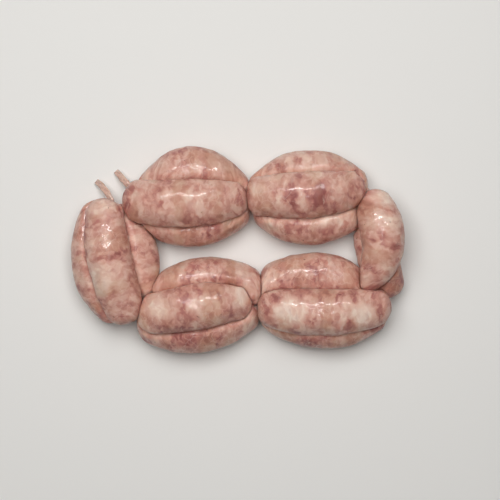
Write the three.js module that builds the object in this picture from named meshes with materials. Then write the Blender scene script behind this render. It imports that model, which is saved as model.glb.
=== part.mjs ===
// A string of raw pork sausage links, laid in a ring.
// One long casing is filled and twisted off into seventeen links.  Fifteen of them are plaited
// into bunches of three, where a crown link lies in the furrow between an inner and an outer
// link, and the last two lie crossed between two bunches.  Short twists of empty casing tie
// each bunch to the next, and a twisted tail ends the string on either side.
// Millimetres, +Z up.  The links rest on z = 0, and the ring is centred on the origin.

import * as THREE from "three";
import { mergeVertices } from "three/addons/utils/BufferGeometryUtils.js";

// How finely a link is faceted: faces around it, and rings from tip to tip
const FACES_AROUND = 22;
const RINGS_ALONG = 16;
const CAP_RINGS = 4;
const CORE_STEPS = 28;

// Soft filling: links that touch share a face, with a little air between the two casings
const CASING_GAP = 0.36;
const LEAST_GAP = 0.2;
const PRESS_STEPS = 22;
const SETTLE_STEP = 0.06;
const SETTLE_ROUNDS = 24;
const REACH_MARGIN = 1.15;

// Slow swells of the filling: each one's depth as a share of the radius, how fast it turns along
// and around a link, and how far it shifts from one link to the next
const SWELLS = [
  { depth: 0.014, along: 5.1, around: 1, shift: 1.7 },
  { depth: 0.009, along: 9.7, around: 2, shift: 0.9 },
];

// Heights of a crown link's middle and of its two ends above the table
const CROWN_HEIGHT = 26.5;
const CROWN_END_HEIGHT = 20;

// A link is a little slimmer towards its ends, which are blunt domes, and the links that lie on
// the table are flattened by a share of their radius
const SLIMMING = 0.08;
const CAP_DEPTH = 0.86;
const TABLE_SINK = 0.07;

// Twists of empty casing
const TWIST_FACES = 12;
const TWIST_RINGS = 10;
const TWIST_CAP_RINGS = 3;
const TWIST_RADIUS = 2.3;
const TWIST_LENGTH = 11;
const TWIST_TURNS = 1.25;
const TWIST_FLUTES = 3;
const FLUTE_DEPTH = 0.2;
const TAIL_RADIUS = 1.9;

const COLOURS = {
  crown: 0xd3a293,
  side: 0xc08c80,
  twist: 0xd9b9a3,
};

// Each bunch has the place and heading of its crown link.  A link is given by how far its middle
// lies along and across from there, how far it is turned, its length, its sideways bow and radius.
const BUNCHES = [
  {
    name: "three_1", x: 52.3, y: -34.3, heading: 0.9,
    links: {
      crown: { length: 81.4, bow: -3.0, radius: 14.0 },
      inner: { along: -5.2, across: 10.4, turn: -2.8, length: 73, bow: 7.8, radius: 14.8 },
      outer: { along: 0.3, across: -4.5, turn: -1.8, length: 77, bow: -7.0, radius: 14.0 },
    },
  },
  {
    name: "three_2", x: -25.2, y: -34.9, heading: 9.2,
    links: {
      crown: { length: 71.0, bow: 0.6, radius: 14.3 },
      inner: { along: 9.8, across: 8.6, turn: -6.7, length: 71, bow: 5.6, radius: 14.9 },
      outer: { along: 0.6, across: -6.3, turn: -1.8, length: 76, bow: -6.6, radius: 14.5 },
    },
  },
  {
    name: "three_3", x: -73.1, y: -7.2, heading: -77.9,
    links: {
      crown: { length: 78.2, bow: -2.4, radius: 13.5 },
      inner: { along: -3.6, across: 10.2, turn: 3.2, length: 61, bow: 2.6, radius: 13.2 },
      outer: { along: -1.2, across: -4.8, turn: -2.6, length: 76, bow: -7.6, radius: 14.4 },
    },
  },
  {
    name: "three_4", x: -31.0, y: 29.5, heading: 1.8,
    links: {
      crown: { length: 77.2, bow: -1.8, radius: 14.7 },
      inner: { along: 1.8, across: -4.6, turn: -4.5, length: 74, bow: -9.0, radius: 14.5 },
      outer: { along: 5.1, across: 5.3, turn: -2.8, length: 68.4, bow: 11.4, radius: 15.6 },
    },
  },
  {
    name: "three_5", x: 41.2, y: 33.7, heading: 4.2,
    links: {
      crown: { length: 73.6, bow: -1.2, radius: 14.4 },
      inner: { along: 0.6, across: -10.4, turn: -7.0, length: 67, bow: -5.8, radius: 14.8 },
      outer: { along: 1.9, across: 2.6, turn: -1.8, length: 74, bow: 8.4, radius: 15.0 },
    },
  },
  {
    name: "pair", x: 80.9, y: 2.2, heading: -94.0,
    links: {
      crown: { length: 68.5, bow: 6.0, radius: 12.7, taper: -0.22, slimming: 0.25 },
      outer: { along: 8.1, across: 5.6, turn: 20.5, length: 50, bow: 0, radius: 12.2 },
    },
  },
];

// Where each twist lies in the pocket between two bunches, and how the casing runs through it
const TWISTS = [
  { name: "casing_twist_1", x: 7.0, y: 29.2, z: 10, heading: 6 },
  { name: "casing_twist_2", x: 80, y: 33, z: 9, heading: -62 },
  { name: "casing_twist_3", x: 88, y: -32, z: 7.5, heading: -112 },
  { name: "casing_twist_4", x: 14.7, y: -33.6, z: 8, heading: 178 },
  { name: "casing_twist_5", x: -59.5, y: -37.5, z: 8, heading: 140 },
];
// A tail leaves the string between three links' ends, bends, and droops onto the table
const TAILS = [
  { name: "casing_tail_1", places: [[-64, 37.5, 8.5], [-68.5, 42, 8], [-73, 47, 1.8]] },
  { name: "casing_tail_2", places: [[-76, 30, 10], [-79, 36.5, 9], [-85, 41, 1.8]] },
];

const UP = new THREE.Vector3(0, 0, 1);

function level(heading) {
  const turn = THREE.MathUtils.degToRad(heading);
  return new THREE.Vector3(Math.cos(turn), Math.sin(turn), 0);
}

// The centre line of a link's core: bowed sideways, and drooping towards both of its ends
class CoreCurve extends THREE.Curve {
  constructor(middle, heading, halfLength, bow, endDrop) {
    super();
    this.middle = middle;
    this.along = level(heading);
    this.side = level(heading + 90);
    this.halfLength = halfLength;
    this.bow = bow;
    this.endDrop = endDrop;
  }

  getPoint(share, target = new THREE.Vector3()) {
    const station = 2 * share - 1;
    const bulge = 1 - station * station;
    target.copy(this.middle);
    target.addScaledVector(this.along, station * this.halfLength);
    target.addScaledVector(this.side, this.bow * bulge);
    target.addScaledVector(UP, -this.endDrop * (1 - bulge));
    return target;
  }
}

// A soft roll: a core line, its radius at each station, and the depth of its two domed caps
class Roll {
  constructor({ name, curve, radius, taper = 0, slimming = SLIMMING, capDepth, material, form }) {
    this.name = name;
    this.radius = radius;
    this.taper = taper;
    this.slimming = slimming;
    this.capDepth = capDepth;
    this.material = material;
    this.form = form;
    this.core = [];
    for (let step = 0; step <= CORE_STEPS; step += 1) {
      this.core.push(curve.getPoint(step / CORE_STEPS));
    }
    this.curve = curve;
    this.reach = new THREE.Box3().setFromPoints(this.core).expandByScalar(radius * REACH_MARGIN);
  }

  radiusAt(share) {
    const station = 2 * share - 1;
    return this.radius * (1 + this.taper * station) * (1 - this.slimming * station * station);
  }

  // How deep a point lies in the roll: 0 on the core line, 1 on the skin, more outside
  depthOf(point) {
    let best = Infinity;
    let place = 0;
    const onLine = new THREE.Vector3();
    const run = new THREE.Line3();
    for (let step = 0; step < CORE_STEPS; step += 1) {
      run.set(this.core[step], this.core[step + 1]);
      const part = run.closestPointToPointParameter(point, true);
      const distance = run.at(part, onLine).distanceToSquared(point);
      if (distance < best) {
        best = distance;
        place = (step + part) / CORE_STEPS;
      }
    }
    const radius = this.radiusAt(place);
    if (place > 0 && place < 1) {
      return Math.sqrt(best) / radius;
    }
    const end = place === 0 ? 0 : CORE_STEPS;
    const inward = place === 0 ? 1 : CORE_STEPS - 1;
    const outward = this.core[end].clone().sub(this.core[inward]).normalize();
    const beyond = point.clone().sub(this.core[end]).dot(outward);
    const aside = Math.sqrt(Math.max(best - beyond * beyond, 0));
    return Math.hypot(beyond / (radius * this.capDepth), aside / radius);
  }
}

// Where a ring of the unit sphere goes on a roll: its share of the core, and its part of a cap
function stationOf(ring, rings, capRings) {
  const quarter = Math.PI / 2;
  if (ring < capRings) {
    const angle = (ring / capRings) * quarter;
    return { share: 0, beyond: -Math.cos(angle), round: Math.sin(angle) };
  }
  if (ring > rings - capRings) {
    const angle = ((rings - ring) / capRings) * quarter;
    return { share: 1, beyond: Math.cos(angle), round: Math.sin(angle) };
  }
  return { share: (ring - capRings) / (rings - 2 * capRings), beyond: 0, round: 1 };
}

// The swells at one place on a link's skin, as a factor on its radius
function swell(seed, share, angle) {
  const wave = ({ along, around, shift }) => Math.sin(along * share + around * angle + shift * seed);
  return SWELLS.reduce((factor, each) => factor + each.depth * wave(each), 1);
}

// The flutes of a twisted casing wind round it
function flute(share, angle) {
  const wind = 2 * Math.PI * TWIST_TURNS * share;
  return 1 + FLUTE_DEPTH * Math.cos(TWIST_FLUTES * (angle + wind));
}

// Bends a unit sphere onto a roll: gives each vertex its place and the core point that it faces
function wrapSphere(roll) {
  const { faces, rings, capRings, relief } = roll.form;
  const sphere = new THREE.SphereGeometry(1, faces, rings);
  sphere.deleteAttribute("normal");
  sphere.deleteAttribute("uv");
  const geometry = mergeVertices(sphere);
  const place = geometry.getAttribute("position");
  const facing = [];
  const vertex = new THREE.Vector3();
  for (let index = 0; index < place.count; index += 1) {
    vertex.fromBufferAttribute(place, index);
    const ring = Math.round((Math.acos(THREE.MathUtils.clamp(vertex.y, -1, 1)) / Math.PI) * rings);
    const angle = Math.atan2(vertex.z, vertex.x);
    const { share, beyond, round } = stationOf(ring, rings, capRings);
    const centre = roll.curve.getPoint(share);
    const along = roll.curve.getTangent(share);
    const side = new THREE.Vector3().crossVectors(UP, along).normalize();
    const top = new THREE.Vector3().crossVectors(along, side);
    const radius = roll.radiusAt(share) * relief(share, angle);
    const out = centre.clone();
    out.addScaledVector(along, beyond * radius * roll.capDepth);
    out.addScaledVector(side, Math.cos(angle) * round * radius);
    out.addScaledVector(top, Math.sin(angle) * round * radius);
    place.setXYZ(index, out.x, out.y, out.z);
    facing.push(centre);
  }
  return { geometry, facing };
}

// Whether a point keeps half of a gap from the faces that a roll shares with its neighbours
function keepsClear(roll, neighbours, point, gap) {
  const own = roll.depthOf(point);
  return neighbours.every((other) => {
    const margin = (gap / 2) * (1 / roll.radius + 1 / other.radius);
    return !other.reach.containsPoint(point) || other.depthOf(point) > own + margin;
  });
}

// Moves a vertex back towards its core until no neighbour has a better claim to the place
function pressPoint(roll, neighbours, centre, point) {
  if (keepsClear(roll, neighbours, point, CASING_GAP)) {
    return point;
  }
  const probe = new THREE.Vector3();
  let inside = 0;
  let outside = 1;
  for (let step = 0; step < PRESS_STEPS; step += 1) {
    const middle = (inside + outside) / 2;
    probe.lerpVectors(centre, point, middle);
    if (keepsClear(roll, neighbours, probe, CASING_GAP)) {
      inside = middle;
    } else {
      outside = middle;
    }
  }
  return new THREE.Vector3().lerpVectors(centre, point, inside);
}

// The corners of every flat facet whose middle, or the middle of an edge, comes too close
function cornersTooClose(roll, neighbours, points, index) {
  const close = new Set();
  const probe = new THREE.Vector3();
  for (let first = 0; first < index.count; first += 3) {
    const corners = [0, 1, 2].map((corner) => index.getX(first + corner));
    const [a, b, c] = corners.map((corner) => points[corner]);
    const samples = [[a, b, b], [b, c, c], [c, a, a], [a, b, c]];
    const clear = samples.every(([p, q, r]) => {
      probe.copy(p).add(q).add(r).divideScalar(3);
      return keepsClear(roll, neighbours, probe, LEAST_GAP);
    });
    if (!clear) {
      corners.forEach((corner) => close.add(corner));
    }
  }
  return close;
}

function makeMesh(roll, rolls) {
  const { geometry, facing } = wrapSphere(roll);
  const place = geometry.getAttribute("position");
  const neighbours = rolls.filter((other) => other !== roll && other.reach.intersectsBox(roll.reach));
  const points = facing.map((centre, index) => {
    const point = new THREE.Vector3().fromBufferAttribute(place, index);
    return pressPoint(roll, neighbours, centre, point);
  });
  for (let round = 0; round < SETTLE_ROUNDS; round += 1) {
    for (const corner of cornersTooClose(roll, neighbours, points, geometry.getIndex())) {
      const inward = facing[corner].clone().sub(points[corner]);
      const step = Math.min(SETTLE_STEP, inward.length() / 2);
      points[corner].addScaledVector(inward.normalize(), step);
    }
  }
  points.forEach((point, index) => place.setXYZ(index, point.x, point.y, Math.max(point.z, 0)));
  geometry.computeVertexNormals();
  const mesh = new THREE.Mesh(geometry, roll.material);
  mesh.name = roll.name;
  return mesh;
}

function meatMaterial(colour) {
  return new THREE.MeshStandardMaterial({ color: colour, roughness: 0.38, metalness: 0 });
}

function makeLink(bunch, role, link, seed) {
  const { along = 0, across = 0, turn = 0, length, bow, radius, taper, slimming } = link;
  const onTop = role === "crown";
  const height = onTop ? CROWN_HEIGHT : radius * (1 - TABLE_SINK);
  const endHeight = onTop ? CROWN_END_HEIGHT : height * (1 - SLIMMING);
  const middle = new THREE.Vector3(bunch.x, bunch.y, height);
  middle.addScaledVector(level(bunch.heading), along);
  middle.addScaledVector(level(bunch.heading + 90), across);
  const halfCore = length / 2 - radius * CAP_DEPTH;
  return new Roll({
    name: `${bunch.name}_${role}_link`,
    curve: new CoreCurve(middle, bunch.heading + turn, halfCore, bow, height - endHeight),
    radius,
    taper,
    slimming,
    capDepth: CAP_DEPTH,
    material: meatMaterial(onTop ? COLOURS.crown : COLOURS.side),
    form: {
      faces: FACES_AROUND,
      rings: RINGS_ALONG,
      capRings: CAP_RINGS,
      relief: (share, angle) => swell(seed, share, angle),
    },
  });
}

function makeCord(name, curve, radius) {
  return new Roll({
    name,
    curve,
    radius,
    capDepth: 1,
    material: new THREE.MeshStandardMaterial({ color: COLOURS.twist, roughness: 0.3, metalness: 0 }),
    form: { faces: TWIST_FACES, rings: TWIST_RINGS, capRings: TWIST_CAP_RINGS, relief: flute },
  });
}

const rolls = [];
for (const bunch of BUNCHES) {
  for (const [role, link] of Object.entries(bunch.links)) {
    rolls.push(makeLink(bunch, role, link, rolls.length));
  }
}
for (const { name, x, y, z, heading } of TWISTS) {
  const middle = new THREE.Vector3(x, y, z);
  const curve = new CoreCurve(middle, heading, TWIST_LENGTH / 2 - TWIST_RADIUS, 0, 0);
  rolls.push(makeCord(name, curve, TWIST_RADIUS));
}
for (const { name, places } of TAILS) {
  const [start, bend, end] = places.map((place) => new THREE.Vector3(...place));
  rolls.push(makeCord(name, new THREE.QuadraticBezierCurve3(start, bend, end), TAIL_RADIUS));
}

const group = new THREE.Group();
for (const roll of rolls) {
  group.add(makeMesh(roll, rolls));
}

// The ring's middle goes over the origin
const box = new THREE.Box3().setFromObject(group);
const centre = box.getCenter(new THREE.Vector3());
group.position.set(-centre.x, -centre.y, -box.min.z);

export default group;
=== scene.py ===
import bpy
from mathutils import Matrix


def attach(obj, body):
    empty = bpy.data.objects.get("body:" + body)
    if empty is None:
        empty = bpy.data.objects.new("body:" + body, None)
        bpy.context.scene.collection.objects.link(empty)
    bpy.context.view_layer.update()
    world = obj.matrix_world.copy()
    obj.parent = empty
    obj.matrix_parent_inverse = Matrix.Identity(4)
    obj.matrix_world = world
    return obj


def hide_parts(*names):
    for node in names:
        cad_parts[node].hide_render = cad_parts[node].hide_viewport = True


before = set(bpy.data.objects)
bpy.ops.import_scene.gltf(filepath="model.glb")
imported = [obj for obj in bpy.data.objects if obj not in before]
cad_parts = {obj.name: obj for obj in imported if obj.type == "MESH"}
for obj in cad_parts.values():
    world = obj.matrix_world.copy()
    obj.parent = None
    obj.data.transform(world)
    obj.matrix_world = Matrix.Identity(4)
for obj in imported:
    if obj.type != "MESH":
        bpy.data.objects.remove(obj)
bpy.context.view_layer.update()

# A string of raw pork sausage links, dressed over its solids: coarse pink meat shows through a
# thin, moist natural casing that is gathered at each link's ends and twisted between the bunches.
import math

import bmesh
import bpy
import numpy as np
from bpy.props import FloatProperty, FloatVectorProperty, IntProperty, PointerProperty
from bpy.types import Operator, Panel, PropertyGroup
from mathutils import Vector
from mathutils.bvhtree import BVHTree

bl_info = {
    "name": "String of sausage links",
    "version": (1, 0, 0),
    "blender": (4, 5, 0),
    "location": "View3D > Sidebar > Sausages",
    "description": "Dresses a string of raw sausage links: filled links, twisted casing and a stage",
    "category": "Object",
}

MM = 0.001
LINK_NODES = sorted(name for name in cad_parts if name.endswith("_link"))
CASING_NODES = sorted(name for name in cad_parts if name.startswith("casing_"))

# Vertices nearer than this are one, and triangles that bend and skew less than this are paired.
MERGE_DISTANCE = 0.002 * MM
PAIR_BEND = math.radians(50)
PAIR_SKEW = math.radians(60)

# How often the cage of a skin is drawn out, and by what share of the gap that is left.
DRAWING_ROUNDS = 2
DRAWING_SHARE = 0.75

# The waves of a rippled field, and how much longer or shorter than its width they are.
RIPPLE_WAVES = 28
SHORTEST_RIPPLE = 0.75
LONGEST_RIPPLE = 1.5

# These are added to a stretch's own seed, so that its swells, knobs and mince don't repeat.
KNOB_SEED = 100
MINCE_SEED = 500
# The most that a link's mince is shifted each way, in millimetres.
MINCE_SHIFT = 900

# The nearness at which a neighbour starts to press the skin flat, and at which it is quite flat;
# and the nearness at which painted shade starts to darken a crease, and at which it is darkest.
PRESSED = (0.3, 0.85)
PAINTED_SHADE = (0.2, 1.0)

# The folds gathered at a tip: how far their number strays, the most that they swirl in radians
# a millimetre, and the most that they are turned round the tip in radians.
FOLD_STRAY = 2
FOLD_SWIRL = 0.12
FOLD_TURN = 6
# Their mean share of the full depth, how far that varies round the tip, and how far from the tip
# they reach it and start to fade.
FOLD_MEAN = 0.65
FOLD_VARIES = 0.35
FOLD_FULL = 1.8 * MM
FOLD_FADE = 2.5 * MM

# Pieces that stand out, seen from above, with some painted shade and highlight among them: the link,
# the piece's middle along X and Y, its width along X and Y, all in millimetres, and how much richer in
# fat it is; less than 0 is lean.
STAND_OUT_PIECES_AND_PAINTED_LIGHT = (
    ("three_5_crown_link", 31, 32, 10, 14, -0.42),
    ("three_5_crown_link", 48, 33, 7, 14, -0.36),
    ("three_5_crown_link", 12, 36, 10, 8, 0.3),
    ("three_5_inner_link", 20, 14, 16, 9, 0.18),
    ("three_5_inner_link", 56, 17, 16, 8, 0.3),
    ("three_4_crown_link", -17, 28, 20, 16, 0.14),
    # painted highlight: the pale pieces on this crown are real back fat, and partly a painted highlight
    # where soft glare lay
    ("three_3_crown_link", -81, -18, 15, 19, 0.44),
    ("three_3_crown_link", -82, 24, 18, 10, 0.28),
    ("three_2_crown_link", -1, -26, 14, 15, 0.36),
    ("three_2_crown_link", -46, -33, 22, 16, 0.26),
    ("three_2_inner_link", -14, -17, 4, 4, -0.4),
    ("three_2_crown_link", -19, -32, 20, 10, 0.24),
    # painted highlight: the pale pieces on this crown are real back fat, and partly a painted highlight
    # where soft glare lay
    ("three_1_crown_link", 31, -37, 18, 17, 0.42),
    ("three_1_crown_link", 74, -38, 12, 15, 0.42),
    ("three_1_inner_link", 42, -15, 12, 14, -0.18),
    # painted shade: these three broad bands, given as leaner meat, darken links that lie in shadow
    ("three_1_outer_link", 50, -59, 76, 16, -0.2),
    ("three_2_outer_link", -22, -56, 60, 16, -0.1),
    ("three_4_inner_link", -22, 8, 60, 18, -0.12),
    ("pair_crown_link", 86, 31, 20, 7, 0.4),
    # painted shade: a broad band, given as leaner meat, darkens this link that lies in shadow
    ("pair_outer_link", 93, -20, 22, 30, -0.26),
    ("pair_crown_link", 82, 8, 10, 7, -0.2),
    ("pair_crown_link", 84, 16, 16, 14, 0.2),
)
# They show on skin that faces up: not at all where its normal is lower than the first of these
# heights, and fully above the second. They fade out between the two shares of their own radius.
STAND_OUT_RISE = (-0.2, 0.3)
STAND_OUT_FADE = (0.5, 1.4)

# The floor in metres: how far it runs each way, and how far it lies under the links.
FLOOR_REACH = 3.0
FLOOR_GAP = 0.05 * MM

# A Map Range node with this setting makes soft-edged patches of a field: 0 at its first limit
# and 1 at its second.
SOFT_EDGED = {"interpolation_type": "SMOOTHSTEP"}


def linear(code):
    """Turns an sRGB hex colour such as #d9c2ab into the linear values that Blender works in."""
    levels = [int(code[start:start + 2], 16) / 255 for start in (1, 3, 5)]
    return tuple(v / 12.92 if v <= 0.04045 else ((v + 0.055) / 1.055) ** 2.4 for v in levels)


def length(name, description, default):
    """A property that is a length, given in millimetres here and kept in metres."""
    return FloatProperty(name=name, description=description, default=default * MM, min=0, unit="LENGTH")


def power(name, description, default):
    """A property that is the power of a light, in watts."""
    return FloatProperty(name=name, description=description, default=default, min=0, unit="POWER")


def colour(name, description, code):
    """A property that is a colour, given as an sRGB hex value."""
    return FloatVectorProperty(
        name=name, description=description, default=linear(code), min=0, max=1, subtype="COLOR")


class LinkSettings(PropertyGroup):
    """How full the links are, and how their casing lies."""

    smoothness: IntProperty(
        name="Smoothness", description="Subdivision levels of a link's skin", default=3, min=1, max=4)
    fullness: length("Fullness", "How far the filling swells the skin past the plain solid", 0.06)
    touch: length("Touch", "How much further it swells where it touches another link", 0.1)
    swell: length("Swells", "Height of the slow swells of the filling", 0.28)
    swell_width: length("Swell width", "Distance between two slow swells", 17)
    knob: length("Knobs", "Height of the knobs that pieces of fat and lean push up", 0.1)
    knob_width: length("Knob width", "Distance between two knobs", 5.5)
    gather_depth: length("Gathers", "Depth of the folds that are gathered at a link's ends", 0.42)
    gather_reach: length("Gather reach", "How far the gathered folds run from a link's tip", 8)
    gather_count: IntProperty(
        name="Gathered folds", description="Folds round a link's tip", default=11, min=4, max=24)
    crease_reach: length("Crease", "How far from a neighbour the skin darkens in its shade", 1.8)
    cord_folds: IntProperty(
        name="Cord folds", description="Soft folds round an empty twist", default=4, min=2, max=16)
    cord_fold_depth: length("Cord fold depth", "Depth of the folds of an empty twist", 0.15)
    cord_turns: FloatProperty(
        name="Cord turns", description="Turns that the folds make along an empty twist", default=2.4)


class MeatSettings(PropertyGroup):
    """The colours of the meat as it shows through the casing, and the grain of the mince."""

    back_fat: colour("Back fat", "The largest and palest pieces of fat", "#ecd3c3")
    fat: colour("Fat", "Smaller cream pieces of fat", "#e0bcaa")
    pale: colour("Pale meat", "Fine mince rich in fat", "#d5a898")
    mid: colour("Meat", "Pink mince", "#c99384")
    lean: colour("Lean", "Pieces of lean pork", "#b3776d")
    deep: colour("Deep lean", "The darkest pieces of lean", "#965a55")
    browned: colour("Browned meat", "Mince that the air has turned a little brown", "#bd8d70")
    speck: colour("Seasoning", "Specks of ground pepper", "#5b3a30")
    # painted shade: the colour laid over the skin in the creases between links
    crease: colour("Crease", "Moist meat in the shade of a crease", "#74403a")
    casing: colour("Casing", "Empty twisted casing", "#dab9a8")
    thin_casing: colour("Thin casing", "Juice between the folds of empty casing", "#b88e80")
    cloud: length("Clouds", "Distance between paler and redder stretches of mince", 20)
    browning: length("Browning", "Distance between stretches that have browned", 12)
    piece: length("Pieces", "Size of the coarse pieces of fat and lean", 7.5)
    crumb: length("Crumbs", "Size of the finer pieces between them", 3.2)
    fleck: length("Flecks", "Size of the finest pieces that show", 1.9)
    thread: length("Threads", "Distance between drawn-out threads of fat or lean", 3)
    sinew: length("Sinews", "Distance between the pale sinews between pieces", 5)
    smear: length("Smear", "How far the stuffing has smeared the outlines of the pieces", 5)
    pepper: length("Pepper", "Distance between the places that may hold a speck of pepper", 6.25)
    bead: length("Beads", "Distance between the small beads that break up the wet shine", 2.381)
    blot: length("Blots", "Distance between the thin and thick blots of empty casing", 1.111)
    # also scales the painted shade and highlight in the list of stand-out pieces
    stand_out_and_painted_light: FloatProperty(
        name="Stand-out pieces", description="How strongly the listed pieces of fat and lean show",
        default=1.0, min=0)


class StageSettings(PropertyGroup):
    """The floor, the studio lights and the camera straight above."""

    floor: colour("Floor", "Plain pale floor", "#e6e4e0")
    camera_height: length("Camera height", "Height of the camera above the floor", 1000)
    view_width: length("View width", "Width of floor that the picture shows", 300)
    view_height: length("Focus height", "Height at which the view width is measured", 20)
    view_shift: length("View shift", "How far the picture's middle lies right of the ring's middle", 7.5)
    key_power: power("Key light", "Power of the softbox overhead, a little to the far side", 11.2)
    fill_power: power("Fill light", "Power of the weak light above the near side", 0.1)
    strip_power: power("Strip light", "Power of the wide strip that draws the wet streaks", 11.0)
    crest_power: power(
        "Crest light", "Power of the strip that draws them on links that lie across the ring", 3.0)
    room_light: FloatProperty(
        name="Room light", description="Strength of the even light from all round", default=0.035, min=0)


def add_node(tree, kind, settings=None, inputs=None):
    """Adds one node. Settings are its own properties; inputs are values, or outputs to link from,
    by the name or the number of the socket."""
    node = tree.nodes.new(kind)
    for name, value in (settings or {}).items():
        setattr(node, name, value)
    for name, value in (inputs or {}).items():
        if isinstance(value, bpy.types.NodeSocket):
            tree.links.new(value, node.inputs[name])
        else:
            node.inputs[name].default_value = value
    return node


def start_material(name):
    """A new material with an empty tree that holds only its output."""
    material = bpy.data.materials.new(name)
    material.use_nodes = True
    tree = material.node_tree
    tree.nodes.clear()
    return material, tree, add_node(tree, "ShaderNodeOutputMaterial")


def paint_ramp(node, stops):
    """Sets a colour ramp's stops, each a place from 0 to 1 and a linear colour."""
    elements = node.color_ramp.elements
    while len(elements) > 1:
        elements.remove(elements[-1])
    for index, (place, tint) in enumerate(stops):
        stop = elements[0] if index == 0 else elements.new(place)
        stop.position = place
        stop.color = (*tint, 1)


def blended(tree, parts):
    """A weighted sum of fields, given as pairs of a field and its weight."""
    total = 0.0
    for value, weight in parts:
        total = add_node(tree, "ShaderNodeMath", {"operation": "MULTIPLY_ADD"}, {
            0: value, 1: weight, 2: total}).outputs[0]
    return total


def laid_over(tree, under, tint, mask, strength):
    """Lays a colour over what is under it, as strongly as given where the mask is 1."""
    factor = add_node(tree, "ShaderNodeMath", {"operation": "MULTIPLY"}, {0: mask, 1: strength})
    return add_node(tree, "ShaderNodeMix", {"data_type": "RGBA"}, {
        0: factor.outputs[0], 6: under, 7: (*tint, 1)}).outputs[2]


def pressed_pieces(tree, place, width, softness):
    """Pieces about one width across, pressed against each other, each of one random tone."""
    cells = add_node(tree, "ShaderNodeTexVoronoi", {"feature": "SMOOTH_F1"}, {
        "Vector": place, "Scale": MM / width, "Smoothness": softness})
    return add_node(tree, "ShaderNodeSeparateColor", None, {0: cells.outputs["Color"]}).outputs[1]


def smeared_filling(tree, filling, settings):
    """The places in the filling pushed about a little: stuffing makes the pieces' outlines wander."""
    reach = settings.smear / MM
    wander = add_node(tree, "ShaderNodeTexNoise", None, {
        "Vector": filling, "Scale": MM / settings.smear, "Detail": 2.5, "Roughness": 0.55})
    centred = add_node(tree, "ShaderNodeVectorMath", {"operation": "SUBTRACT"}, {
        0: wander.outputs["Color"], 1: (0.5, 0.5, 0.5)})
    return add_node(tree, "ShaderNodeVectorMath", {"operation": "MULTIPLY_ADD"}, {
        0: centred.outputs[0], 1: (reach, reach, reach), 2: filling}).outputs[0]


def ground_pork(tree, smeared, cloud, settings):
    """Coarse pieces from lean to fat with finer crumbs between them, redder in some stretches.
    Gives their colour, and the crumbs, which also roughen the skin."""
    # pressed from the ends, so the pieces are longer round the link than along it
    squeezed = add_node(tree, "ShaderNodeMapping", None, {
        "Vector": smeared, "Scale": (1.2, 0.85, 0.85)}).outputs[0]
    # the listed pieces of fat and lean, with painted shade and a painted highlight among them
    richness_and_painted_light = add_node(tree, "ShaderNodeAttribute", {"attribute_name": "richness_and_painted_light"}).outputs["Fac"]
    coarse = pressed_pieces(tree, squeezed, settings.piece, softness=1.0)
    crumbs = pressed_pieces(tree, squeezed, settings.crumb, softness=0.7)
    flecks = pressed_pieces(tree, squeezed, settings.fleck, softness=0.6)
    tone = blended(tree, [
        (coarse, 0.42), (crumbs, 0.3), (flecks, 0.15), (cloud, 0.3),
        (richness_and_painted_light, settings.stand_out_and_painted_light)])
    ramp = add_node(tree, "ShaderNodeValToRGB", None, {0: tone})
    paint_ramp(ramp, [
        (0.22, settings.deep), (0.36, settings.lean), (0.49, settings.mid),
        (0.62, settings.pale), (0.8, settings.fat), (1.0, settings.back_fat)])
    return ramp.outputs["Color"], crumbs


def add_threads(tree, meat, smeared, settings):
    """Lays threads of lean and fat over the meat, and then the stretches that have browned."""
    # stuffing draws them out round the link, a little askew
    drawn_out = add_node(tree, "ShaderNodeMapping", None, {
        "Vector": smeared, "Scale": (1.0, 0.3, 0.3), "Rotation": (0.0, 0.0, 0.15)}).outputs[0]
    thread = add_node(tree, "ShaderNodeTexNoise", None, {
        "Vector": drawn_out, "Scale": MM / settings.thread, "Detail": 2.0,
        "Roughness": 0.5}).outputs["Fac"]
    lean = add_node(tree, "ShaderNodeMapRange", SOFT_EDGED, {
        "Value": thread, "From Min": 0.46, "From Max": 0.3}).outputs[0]
    fat = add_node(tree, "ShaderNodeMapRange", SOFT_EDGED, {
        "Value": thread, "From Min": 0.56, "From Max": 0.7}).outputs[0]
    air = add_node(tree, "ShaderNodeTexNoise", None, {
        "Vector": drawn_out, "Scale": MM / settings.browning, "Detail": 1.0,
        "Roughness": 0.5}).outputs["Fac"]
    browned = add_node(tree, "ShaderNodeMapRange", SOFT_EDGED, {
        "Value": air, "From Min": 0.5, "From Max": 0.68}).outputs[0]
    meat = laid_over(tree, meat, settings.lean, lean, strength=0.28)
    meat = laid_over(tree, meat, settings.fat, fat, strength=0.4)
    return laid_over(tree, meat, settings.browned, browned, strength=0.4)


def add_sinews(tree, meat, smeared, cloud, settings):
    """Lays thin pale sinews over the meat, between the pieces of its paler stretches."""
    seams = add_node(tree, "ShaderNodeTexVoronoi", {"feature": "DISTANCE_TO_EDGE"}, {
        "Vector": smeared, "Scale": MM / settings.sinew}).outputs["Distance"]
    thin = add_node(tree, "ShaderNodeMapRange", SOFT_EDGED, {
        "Value": seams, "From Min": 0.07, "From Max": 0.01}).outputs[0]
    paler = add_node(tree, "ShaderNodeMapRange", SOFT_EDGED, {
        "Value": cloud, "From Min": 0.45, "From Max": 0.6}).outputs[0]
    sinews = add_node(tree, "ShaderNodeMath", {"operation": "MULTIPLY"}, {
        0: thin, 1: paler}).outputs[0]
    return laid_over(tree, meat, settings.back_fat, sinews, strength=0.2)


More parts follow.
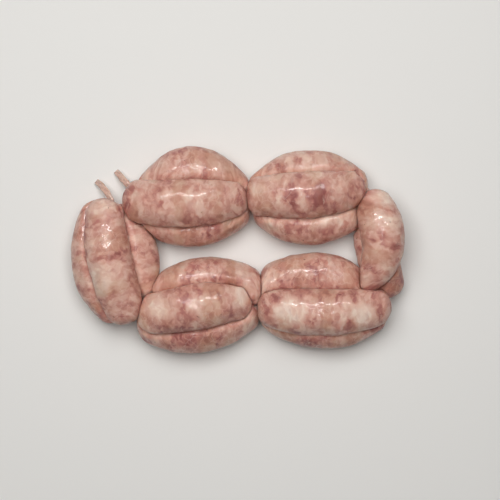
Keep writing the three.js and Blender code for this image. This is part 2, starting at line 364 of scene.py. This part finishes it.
def add_pepper(tree, meat, smeared, settings):
    """Lays ground pepper over the meat: dots about a millimetre wide, in some of its places."""
    places = add_node(tree, "ShaderNodeTexVoronoi", None, {
        "Vector": smeared, "Scale": MM / settings.pepper})
    dot = add_node(tree, "ShaderNodeMapRange", SOFT_EDGED, {
        "Value": places.outputs["Distance"], "From Min": 0.1, "From Max": 0.05}).outputs[0]
    lot = add_node(tree, "ShaderNodeSeparateColor", None, {0: places.outputs["Color"]}).outputs[2]
    drawn = add_node(tree, "ShaderNodeMath", {"operation": "GREATER_THAN"}, {
        0: lot, 1: 0.6}).outputs[0]
    specks = add_node(tree, "ShaderNodeMath", {"operation": "MULTIPLY"}, {
        0: dot, 1: drawn}).outputs[0]
    return laid_over(tree, meat, settings.speck, specks, strength=0.6)


def raw_pork_in_casing(settings):
    """Coarse-ground raw pork in a natural hog casing, filled by hand and still moist.

    The eye sees cream fat and pink to red lean in soft-edged patches, a few pepper specks,
    creases darkened by painted shade, and a wet skin whose highlights are broken by small beads."""
    material, tree, output = start_material("Raw pork in natural casing")

    # the place in the filling, in millimetres along and across the straightened link
    filling = add_node(tree, "ShaderNodeAttribute", {"attribute_name": "filling"}).outputs["Vector"]
    # how near a neighbour lies, where painted shade darkens the skin
    crease = add_node(tree, "ShaderNodeAttribute", {"attribute_name": "crease"}).outputs["Fac"]
    tip = add_node(tree, "ShaderNodeAttribute", {"attribute_name": "tip"}).outputs["Fac"]
    smeared = smeared_filling(tree, filling, settings)
    cloud = add_node(tree, "ShaderNodeTexNoise", None, {
        "Vector": filling, "Scale": MM / settings.cloud, "Detail": 2.0,
        "Roughness": 0.5}).outputs["Fac"]

    meat, crumbs = ground_pork(tree, smeared, cloud, settings)
    meat = add_threads(tree, meat, smeared, settings)
    meat = add_sinews(tree, meat, smeared, cloud, settings)
    meat = add_pepper(tree, meat, smeared, settings)
    # thicker gathered casing is paler at the tips, and creases are darkened with painted shade
    meat = laid_over(tree, meat, settings.casing, tip, strength=0.35)
    meat = laid_over(tree, meat, settings.crease, crease, strength=0.46)

    beads = add_node(tree, "ShaderNodeTexNoise", None, {
        "Vector": filling, "Scale": MM / settings.bead, "Detail": 3.0,
        "Roughness": 0.5}).outputs["Fac"]
    height = blended(tree, [(beads, 0.75), (crumbs, 0.25)])
    bump = add_node(tree, "ShaderNodeBump", None, {
        "Height": height, "Strength": 0.3, "Distance": 0.5 * MM}).outputs[0]
    dryness = add_node(tree, "ShaderNodeMapRange", None, {
        "Value": beads, "From Min": 0.3, "From Max": 0.7, "To Min": 0.34, "To Max": 0.52}).outputs[0]
    shader = add_node(tree, "ShaderNodeBsdfPrincipled", None, {
        "Base Color": meat, "Roughness": dryness, "IOR": 1.4, "Normal": bump,
        "Specular IOR Level": 0.25, "Subsurface Weight": 0.25,
        "Subsurface Radius": (1.0, 0.42, 0.28), "Subsurface Scale": 2.2 * MM,
        "Coat Weight": 0.42, "Coat Roughness": 0.07, "Coat IOR": 1.38, "Coat Normal": bump})
    tree.links.new(shader.outputs[0], output.inputs["Surface"])
    return material


def twisted_casing(settings):
    """Empty hog casing twisted into a cord.

    The eye sees a milky, blotted skin, a little see-through, with juice in its soft folds."""
    material, tree, output = start_material("Twisted natural casing")
    place = add_node(tree, "ShaderNodeTexCoord").outputs["Object"]
    blots = add_node(tree, "ShaderNodeTexNoise", None, {
        "Vector": place, "Scale": 1 / settings.blot, "Detail": 3.0}).outputs["Fac"]
    furrow = add_node(tree, "ShaderNodeAttribute", {"attribute_name": "furrow"}).outputs["Fac"]
    tone = blended(tree, [(blots, 1.0), (furrow, -0.22)])
    ramp = add_node(tree, "ShaderNodeValToRGB", None, {0: tone})
    paint_ramp(ramp, [(0.1, settings.thin_casing), (0.5, settings.casing)])
    bump = add_node(tree, "ShaderNodeBump", None, {
        "Height": blots, "Strength": 0.4, "Distance": 0.3 * MM}).outputs[0]
    shader = add_node(tree, "ShaderNodeBsdfPrincipled", None, {
        "Base Color": ramp.outputs["Color"], "Roughness": 0.34, "IOR": 1.4, "Normal": bump,
        "Subsurface Weight": 0.35, "Subsurface Radius": (1.0, 0.6, 0.4),
        "Subsurface Scale": 1.5 * MM, "Coat Weight": 0.6, "Coat Roughness": 0.15})
    tree.links.new(shader.outputs[0], output.inputs["Surface"])
    return material


def pale_board(settings):
    """Painted board: matt and even, so that it only catches the links' soft shadows."""
    material, tree, output = start_material("Matt painted board")
    shader = add_node(tree, "ShaderNodeBsdfPrincipled", None, {
        "Base Color": (*settings.floor, 1), "Roughness": 0.85})
    tree.links.new(shader.outputs[0], output.inputs["Surface"])
    return material


def read_points(mesh):
    """The vertices of a mesh, one row each."""
    points = np.zeros(len(mesh.vertices) * 3)
    mesh.vertices.foreach_get("co", points)
    return points.reshape(-1, 3)


def write_points(mesh, points):
    """Moves the vertices of a mesh to new places."""
    mesh.vertices.foreach_set("co", points.reshape(-1))
    mesh.update()


def read_normals(mesh):
    """The outward directions of a mesh's vertices."""
    normals = np.zeros(len(mesh.vertices) * 3)
    mesh.vertex_normals.foreach_get("vector", normals)
    return normals.reshape(-1, 3)


def quad_copy(node):
    """A merged copy of a solid's loose triangles, with its triangles paired into quads.
    Its two tips are the vertices in which the most faces meet."""
    shape = bmesh.new()
    shape.from_mesh(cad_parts[node].data)
    bmesh.ops.remove_doubles(shape, verts=shape.verts, dist=MERGE_DISTANCE)
    tips = sorted(shape.verts, key=lambda vertex: len(vertex.link_faces))[-2:]
    places = sorted((tuple(vertex.co) for vertex in tips), key=lambda co: co[0] + co[1])
    bmesh.ops.join_triangles(
        shape, faces=shape.faces, angle_face_threshold=PAIR_BEND, angle_shape_threshold=PAIR_SKEW)
    mesh = bpy.data.meshes.new(node)
    shape.to_mesh(mesh)
    shape.free()
    return mesh, [np.array(place) for place in places]


def applied_copy(carrier):
    """A new mesh with an object's modifiers applied."""
    carrier.update_tag()
    evaluated = carrier.evaluated_get(bpy.context.evaluated_depsgraph_get())
    return bpy.data.meshes.new_from_object(evaluated)


def smooth_skin(node, levels):
    """The solid's copy with a subdivided, rounded skin, its modifier applied. Subdividing shrinks
    the shape, so its cage is first drawn out until the skin runs close to the solid's corners."""
    coarse, tips = quad_copy(node)
    carrier = bpy.data.objects.new(node + "_coarse", coarse)
    bpy.context.scene.collection.objects.link(carrier)
    skin = carrier.modifiers.new("Skin", "SUBSURF")
    skin.levels = levels
    skin.render_levels = levels
    corners = read_points(coarse)
    for _ in range(DRAWING_ROUNDS):
        mesh = applied_copy(carrier)
        lag = corners - read_points(mesh)[:len(corners)]
        write_points(coarse, read_points(coarse) + DRAWING_SHARE * lag)
        bpy.data.meshes.remove(mesh)
    mesh = applied_copy(carrier)
    bpy.data.objects.remove(carrier)
    bpy.data.meshes.remove(coarse)
    return mesh, tips


def ease(values, low, high):
    """A smooth step from 0 at low to 1 at high."""
    share = np.clip((values - low) / (high - low), 0, 1)
    return share * share * (3 - 2 * share)


def ripples(points, width, seed):
    """Smooth random waves about one width apart, mostly between -1 and 1."""
    draw = np.random.default_rng(seed)
    total = np.zeros(len(points))
    for _ in range(RIPPLE_WAVES):
        way = draw.normal(size=3)
        stretch = draw.uniform(SHORTEST_RIPPLE, LONGEST_RIPPLE)
        way *= 2 * math.pi / (np.linalg.norm(way) * width * stretch)
        total += np.sin(points @ way + draw.uniform(0, 2 * math.pi))
    return total / math.sqrt(RIPPLE_WAVES)


class Stretch:
    """A stretch of the string, a link or a twist, with what its finish is worked out from: its
    smooth skin, its two tips and its core line."""

    SLICES = 15

    def __init__(self, node, seed, levels):
        self.node = node
        self.seed = seed
        self.mesh, self.tips = smooth_skin(node, levels)
        self.points = read_points(self.mesh)
        chord = self.tips[1] - self.tips[0]
        self.length = np.linalg.norm(chord)
        self.along = chord / self.length
        self.side = np.cross([0, 0, 1], self.along)
        self.side /= np.linalg.norm(self.side)
        self.top = np.cross(self.along, self.side)
        self.station = (self.points - self.tips[0]) @ self.along / self.length
        self.core = self.core_line()
        self.straight = self.straightened()
        self.angle = np.arctan2(self.straight[:, 2], self.straight[:, 1])

    def core_line(self):
        """The middles of slices across the stretch, from tip to tip. A vertex's station is how far
        along the chord it lies, from 0 at one tip to 1 at the other."""
        middles = [self.tips[0]]
        for number in range(1, self.SLICES):
            near = np.abs(self.station - number / self.SLICES) < 0.5 / self.SLICES
            middles.append((self.points[near].min(0) + self.points[near].max(0)) / 2)
        middles.append(self.tips[1])
        return np.array(middles)

    def straightened(self):
        """Each vertex's place once the core line is straight, in millimetres: along it, to its
        side and above it."""
        steps = np.linspace(0, 1, len(self.core))
        core = np.stack([np.interp(self.station, steps, self.core[:, axis]) for axis in range(3)], 1)
        out = self.points - core
        return np.stack([self.station * self.length, out @ self.side, out @ self.top], 1) / MM

    def filling(self):
        """Each vertex's place in the mince, shifted so that no two links show the same mince."""
        draw = np.random.default_rng(self.seed + MINCE_SEED)
        return self.straight + draw.uniform(-MINCE_SHIFT, MINCE_SHIFT, 3)

    def tree(self):
        """The skin as a search tree, to measure how near its neighbours lie."""
        polygons = [tuple(face.vertices) for face in self.mesh.polygons]
        return BVHTree.FromPolygons([tuple(point) for point in self.points], polygons)

    def lift_skin(self, rise):
        """Moves each vertex outwards by its own rise, and none of them below the table."""
        moved = self.points + read_normals(self.mesh) * rise[:, None]
        moved[:, 2] = np.maximum(moved[:, 2], 0)
        write_points(self.mesh, moved)

    def store(self, name, values):
        """Keeps one number, or one vector, for each vertex under a name that a material reads."""
        kind = "FLOAT" if values.ndim == 1 else "FLOAT_VECTOR"
        key = "value" if values.ndim == 1 else "vector"
        layer = self.mesh.attributes.new(name, kind, "POINT")
        layer.data.foreach_set(key, values.astype(np.float32).reshape(-1))


def nearness(link, others, reach):
    """1 where a link's skin touches another link and 0 where none is within reach."""
    near = np.zeros(len(link.points))
    low = link.points.min(0) - reach
    high = link.points.max(0) + reach
    for other, tree in others:
        if (other.points.max(0) < low).any() or (other.points.min(0) > high).any():
            continue
        box_low = other.points.min(0) - reach
        box_high = other.points.max(0) + reach
        inside = np.all((link.points > box_low) & (link.points < box_high), axis=1)
        for index in np.nonzero(inside)[0]:
            distance = tree.find_nearest(link.points[index], reach)[3]
            if distance is not None:
                near[index] = max(near[index], 1 - distance / reach)
    return near


def stand_out_richness_and_painted_light(link):
    """How much richer in fat the filling is at each vertex, from the listed pieces of its link; some are
    painted shade, and some partly a painted highlight.
    """
    richness_and_painted_light = np.zeros(len(link.points))
    upward = ease(read_normals(link.mesh)[:, 2], *STAND_OUT_RISE)
    for node, x, y, width, depth, gain in STAND_OUT_PIECES_AND_PAINTED_LIGHT:
        if node == link.node:
            along_x = (link.points[:, 0] / MM - x) / (width / 2)
            along_y = (link.points[:, 1] / MM - y) / (depth / 2)
            fade = ease(np.hypot(along_x, along_y), *STAND_OUT_FADE)
            richness_and_painted_light += gain * upward * (1 - fade)
    return richness_and_painted_light


def gathered_folds(link, number, distance, settings):
    """How deep the folds at one of a link's tips are at each vertex, from its distance to the tip."""
    draw = np.random.default_rng(link.seed * 2 + number)
    folds = settings.gather_count + draw.integers(-FOLD_STRAY, FOLD_STRAY + 1)
    swirl = draw.uniform(-FOLD_SWIRL, FOLD_SWIRL) / MM
    wave = 0.5 + 0.5 * np.cos(folds * link.angle + swirl * distance + draw.uniform(0, FOLD_TURN))
    uneven = FOLD_MEAN + FOLD_VARIES * np.cos(2 * link.angle + draw.uniform(0, FOLD_TURN))
    band = ease(distance, 0, FOLD_FULL) * (1 - ease(distance, FOLD_FADE, settings.gather_reach))
    return settings.gather_depth * band * wave * uneven


def add_piece(name, mesh, material, node):
    """Puts a finished mesh into the scene, in the place of its CAD node."""
    mesh.name = name
    mesh.materials.clear()
    mesh.materials.append(material)
    mesh.shade_smooth()
    piece = bpy.data.objects.new(name, mesh)
    bpy.context.scene.collection.objects.link(piece)
    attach(piece, "root")
    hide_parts(node)


class SAUSAGES_OT_fill_links(Operator):
    """Fills every link: smooth skin, swells of the filling, gathered ends and raw meat"""

    bl_idname = "sausages.fill_links"
    bl_label = "Fill the links"

    def execute(self, context):
        settings = context.scene.sausage_links
        material = raw_pork_in_casing(context.scene.sausage_meat)
        links = [Stretch(node, seed, settings.smoothness) for seed, node in enumerate(LINK_NODES)]
        if len(links) < 2:
            raise RuntimeError("the frame holds no string of links")
        trees = [(link, link.tree()) for link in links]
        for link in links:
            others = [(other, tree) for other, tree in trees if other is not link]
            self.finish_link(link, others, settings, material)
        return {"FINISHED"}

    @staticmethod
    def finish_link(link, others, settings, material):
        """Moves one link's skin and stores what its material reads."""
        near = nearness(link, others, settings.crease_reach)
        free = 1 - ease(near, *PRESSED)
        rise = settings.swell * ripples(link.points, settings.swell_width, link.seed)
        rise += settings.knob * ripples(link.points, settings.knob_width, link.seed + KNOB_SEED)
        rise = rise * free + settings.fullness + settings.touch * (1 - free)
        tip_near = np.zeros(len(link.points))
        for number, tip in enumerate(link.tips):
            distance = np.linalg.norm(link.points - tip, axis=1)
            rise -= gathered_folds(link, number, distance, settings) * free
            tip_near = np.maximum(tip_near, 1 - ease(distance, 0, settings.gather_reach))
        # listed fat and lean, with painted shade and a painted highlight among them
        richness_and_painted_light = stand_out_richness_and_painted_light(link)
        link.lift_skin(rise)
        link.store("filling", link.filling())
        link.store("richness_and_painted_light", richness_and_painted_light)
        # the mask of the painted shade in creases
        link.store("crease", ease(near, *PAINTED_SHADE))
        link.store("tip", tip_near)
        add_piece(link.node.replace("_link", "_sausage"), link.mesh, material, link.node)


class SAUSAGES_OT_twist_casing(Operator):
    """Makes the twists of empty casing between the bunches and at the string's two ends"""

    bl_idname = "sausages.twist_casing"
    bl_label = "Twist the casing"

    def execute(self, context):
        settings = context.scene.sausage_links
        material = twisted_casing(context.scene.sausage_meat)
        for seed, node in enumerate(CASING_NODES):
            twist = Stretch(node, seed, settings.smoothness)
            wind = 2 * math.pi * settings.cord_turns * twist.station
            fold = 0.5 + 0.5 * np.cos(settings.cord_folds * twist.angle + wind)
            twist.lift_skin(-settings.cord_fold_depth * fold)
            twist.store("furrow", fold)
            add_piece(node.replace("casing_", "cord_"), twist.mesh, material, node)
        return {"FINISHED"}


class SAUSAGES_OT_set_stage(Operator):
    """Lays the floor, hangs the lights and sets the camera straight above"""

    bl_idname = "sausages.set_stage"
    bl_label = "Set the stage"

    def execute(self, context):
        settings = context.scene.sausage_stage
        self.lay_floor(settings)
        self.hang_lights(settings)
        self.light_room(settings.room_light)
        self.set_camera(settings)
        context.scene.view_settings.view_transform = "Standard"
        return {"FINISHED"}

    @staticmethod
    def lay_floor(settings):
        """A wide plain board a hair under the links."""
        shape = bmesh.new()
        bmesh.ops.create_grid(shape, x_segments=1, y_segments=1, size=FLOOR_REACH)
        bmesh.ops.translate(shape, verts=shape.verts, vec=(0, 0, -FLOOR_GAP))
        mesh = bpy.data.meshes.new("Floor")
        shape.to_mesh(mesh)
        shape.free()
        mesh.materials.append(pale_board(settings))
        floor = bpy.data.objects.new("Floor", mesh)
        bpy.context.scene.collection.objects.link(floor)

    def hang_lights(self, settings):
        """Two broad lights that show the colours, and two narrow ones that only draw wet streaks.
        Places and sizes are in metres."""
        key = self.hang_light(
            "Key softbox", place=(-0.06, 0.24, 1.0), size=(0.9, 0.7), watts=settings.key_power)
        key.visible_glossy = False
        strip = self.hang_light(
            "Strip light", place=(-0.05, 0.62, 0.85), size=(0.9, 0.1), watts=settings.strip_power)
        strip.visible_diffuse = False
        crest = self.hang_light(
            "Crest light", place=(-0.03, 0.22, 1.05), size=(0.07, 0.6), watts=settings.crest_power)
        crest.visible_diffuse = False
        self.hang_light(
            "Fill softbox", place=(0.1, -0.5, 1.1), size=(0.9, 0.9), watts=settings.fill_power)

    @staticmethod
    def hang_light(name, place, size, watts):
        """A soft rectangular light that faces the ring's middle."""
        light = bpy.data.lights.new(name, "AREA")
        light.shape = "RECTANGLE"
        light.size, light.size_y = size
        light.energy = watts
        lamp = bpy.data.objects.new(name, light)
        lamp.location = place
        lamp.rotation_euler = (-Vector(place)).to_track_quat("-Z", "Y").to_euler()
        bpy.context.scene.collection.objects.link(lamp)
        return lamp

    @staticmethod
    def light_room(strength):
        """Even light from all round, as white studio walls give."""
        world = bpy.data.worlds.new("Studio")
        world.use_nodes = True
        world.node_tree.nodes.clear()
        output = add_node(world.node_tree, "ShaderNodeOutputWorld")
        glow = add_node(world.node_tree, "ShaderNodeBackground", None, {
            "Color": (1.0, 1.0, 1.0, 1.0), "Strength": strength})
        world.node_tree.links.new(glow.outputs[0], output.inputs["Surface"])
        bpy.context.scene.world = world

    @staticmethod
    def set_camera(settings):
        """A camera that looks straight down, with the far side of the ring at the top."""
        camera = bpy.data.cameras.new("Camera")
        distance = settings.camera_height - settings.view_height
        camera.lens = camera.sensor_width * distance / settings.view_width
        camera.dof.use_dof = False
        eye = bpy.data.objects.new("Camera", camera)
        eye.location = (settings.view_shift, 0, settings.camera_height)
        bpy.context.scene.collection.objects.link(eye)
        bpy.context.scene.camera = eye


class SAUSAGES_PT_sidebar(Panel):
    """Lists the settings and the steps that make the string"""

    bl_label = "String of sausages"
    bl_idname = "SAUSAGES_PT_sidebar"
    bl_space_type = "VIEW_3D"
    bl_region_type = "UI"
    bl_category = "Sausages"

    def draw(self, context):
        for group in SETTINGS:
            box = self.layout.box()
            settings = getattr(context.scene, group)
            for name in settings.bl_rna.properties.keys():
                if name not in {"rna_type", "name"}:
                    box.prop(settings, name)
        for step in STEPS:
            self.layout.operator(step.bl_idname)


SETTINGS = {
    "sausage_links": LinkSettings,
    "sausage_meat": MeatSettings,
    "sausage_stage": StageSettings,
}
STEPS = (SAUSAGES_OT_set_stage, SAUSAGES_OT_fill_links, SAUSAGES_OT_twist_casing)
CLASSES = (*SETTINGS.values(), *STEPS, SAUSAGES_PT_sidebar)


def register():
    """Adds the classes, and the settings to every scene."""
    for each in CLASSES:
        bpy.utils.register_class(each)
    for name, group in SETTINGS.items():
        setattr(bpy.types.Scene, name, PointerProperty(type=group))


def unregister():
    """Takes the settings and the classes away again."""
    for name in SETTINGS:
        delattr(bpy.types.Scene, name)
    for each in reversed(CLASSES):
        bpy.utils.unregister_class(each)


def main():
    """Makes the string and its stage."""
    register()
    bpy.ops.sausages.set_stage()
    bpy.ops.sausages.fill_links()
    bpy.ops.sausages.twist_casing()


if __name__ == "__main__":
    main()
